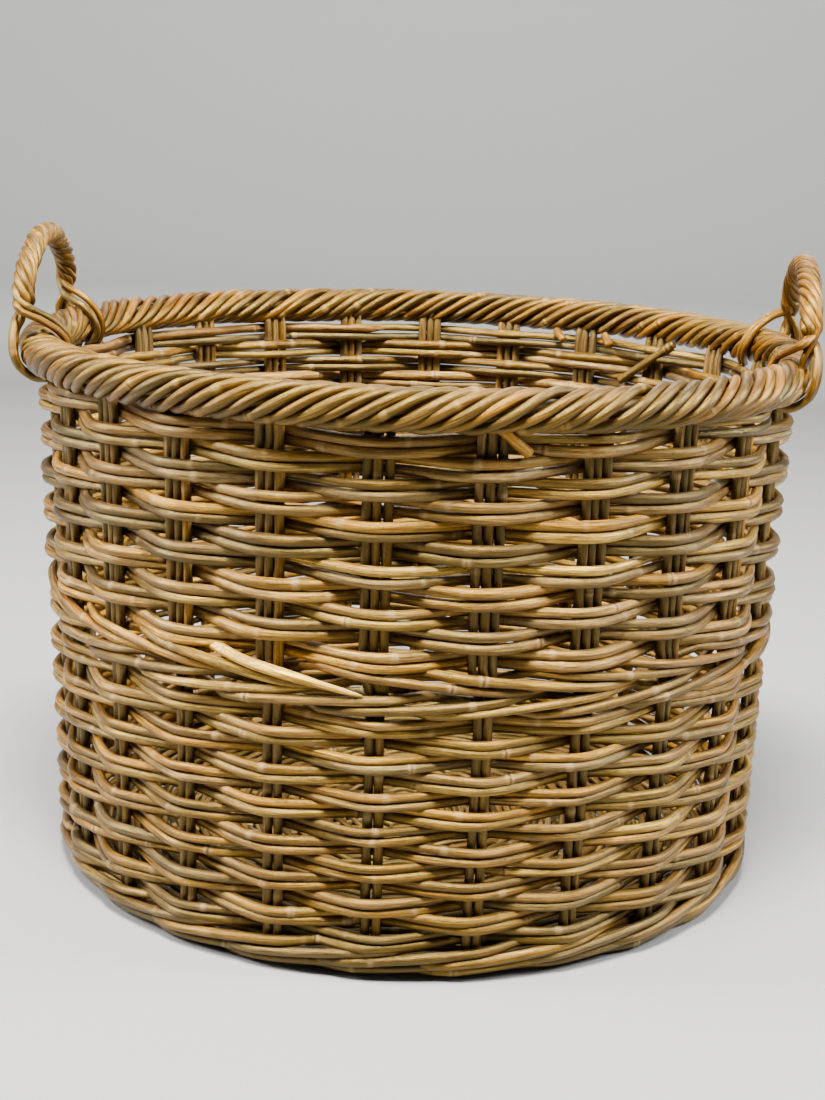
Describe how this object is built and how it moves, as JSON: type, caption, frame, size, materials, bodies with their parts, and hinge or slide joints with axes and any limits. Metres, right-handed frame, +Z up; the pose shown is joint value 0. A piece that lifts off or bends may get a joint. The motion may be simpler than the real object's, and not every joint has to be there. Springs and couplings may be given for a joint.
{
  "type": "woven laundry basket",
  "caption": "Round open basket woven in rattan rods, with a rolled rope border and a rope handle at each side.",
  "frame": {"origin": "centre of the round underside, on the floor", "axes": "+Z up along the basket's axis, -Y the front, the handles at -X and +X"},
  "size_m": [0.6019, 0.599, 0.4798],
  "materials": {
    "rattan_stake": "satin",
    "rattan_weaver": "satin",
    "rattan_wale": "satin",
    "rattan_border": "satin",
    "rattan_handle": "satin",
    "rattan_base": "satin"
  },
  "bodies": {
    "root": {"base_sticks": "rattan_base", "base_weave": "rattan_base", "foot_ring": "rattan_wale", "upsett_outer": "rattan_wale", "upsett_inner": "rattan_wale", "stake_01": "rattan_stake", "stake_02": "rattan_stake", "stake_03": "rattan_stake", "stake_04": "rattan_stake", "stake_05": "rattan_stake", "stake_06": "rattan_stake", "stake_07": "rattan_stake", "stake_08": "rattan_stake", "stake_09": "rattan_stake", "stake_10": "rattan_stake", "stake_11": "rattan_stake", "stake_12": "rattan_stake", "stake_13": "rattan_stake", "stake_14": "rattan_stake", "stake_15": "rattan_stake", "stake_16": "rattan_stake", "stake_17": "rattan_stake", "stake_18": "rattan_stake", "stake_19": "rattan_stake", "stake_20": "rattan_stake", "stake_21": "rattan_stake", "stake_22": "rattan_stake", "stake_23": "rattan_stake", "stake_24": "rattan_stake", "weave_lower_01": "rattan_weaver", "weave_lower_02": "rattan_weaver", "weave_lower_03": "rattan_weaver", "weave_lower_04": "rattan_weaver", "weave_lower_05": "rattan_weaver", "weave_lower_06": "rattan_weaver", "weave_lower_07": "rattan_weaver", "weave_lower_08": "rattan_weaver", "weave_lower_09": "rattan_weaver", "weave_lower_10": "rattan_weaver", "weave_lower_11": "rattan_weaver", "weave_lower_12": "rattan_weaver", "wale_mid_outer": "rattan_wale", "wale_mid_inner": "rattan_wale", "weave_upper_01": "rattan_weaver", "weave_upper_02": "rattan_weaver", "weave_upper_03": "rattan_weaver", "weave_upper_04": "rattan_weaver", "weave_upper_05": "rattan_weaver", "weave_upper_06": "rattan_weaver", "weave_upper_07": "rattan_weaver", "weave_upper_08": "rattan_weaver", "weave_upper_09": "rattan_weaver", "weave_upper_10": "rattan_weaver", "border_rope": "rattan_border", "handle_left": "rattan_handle", "handle_right": "rattan_handle"}
  },
  "joints": []
}
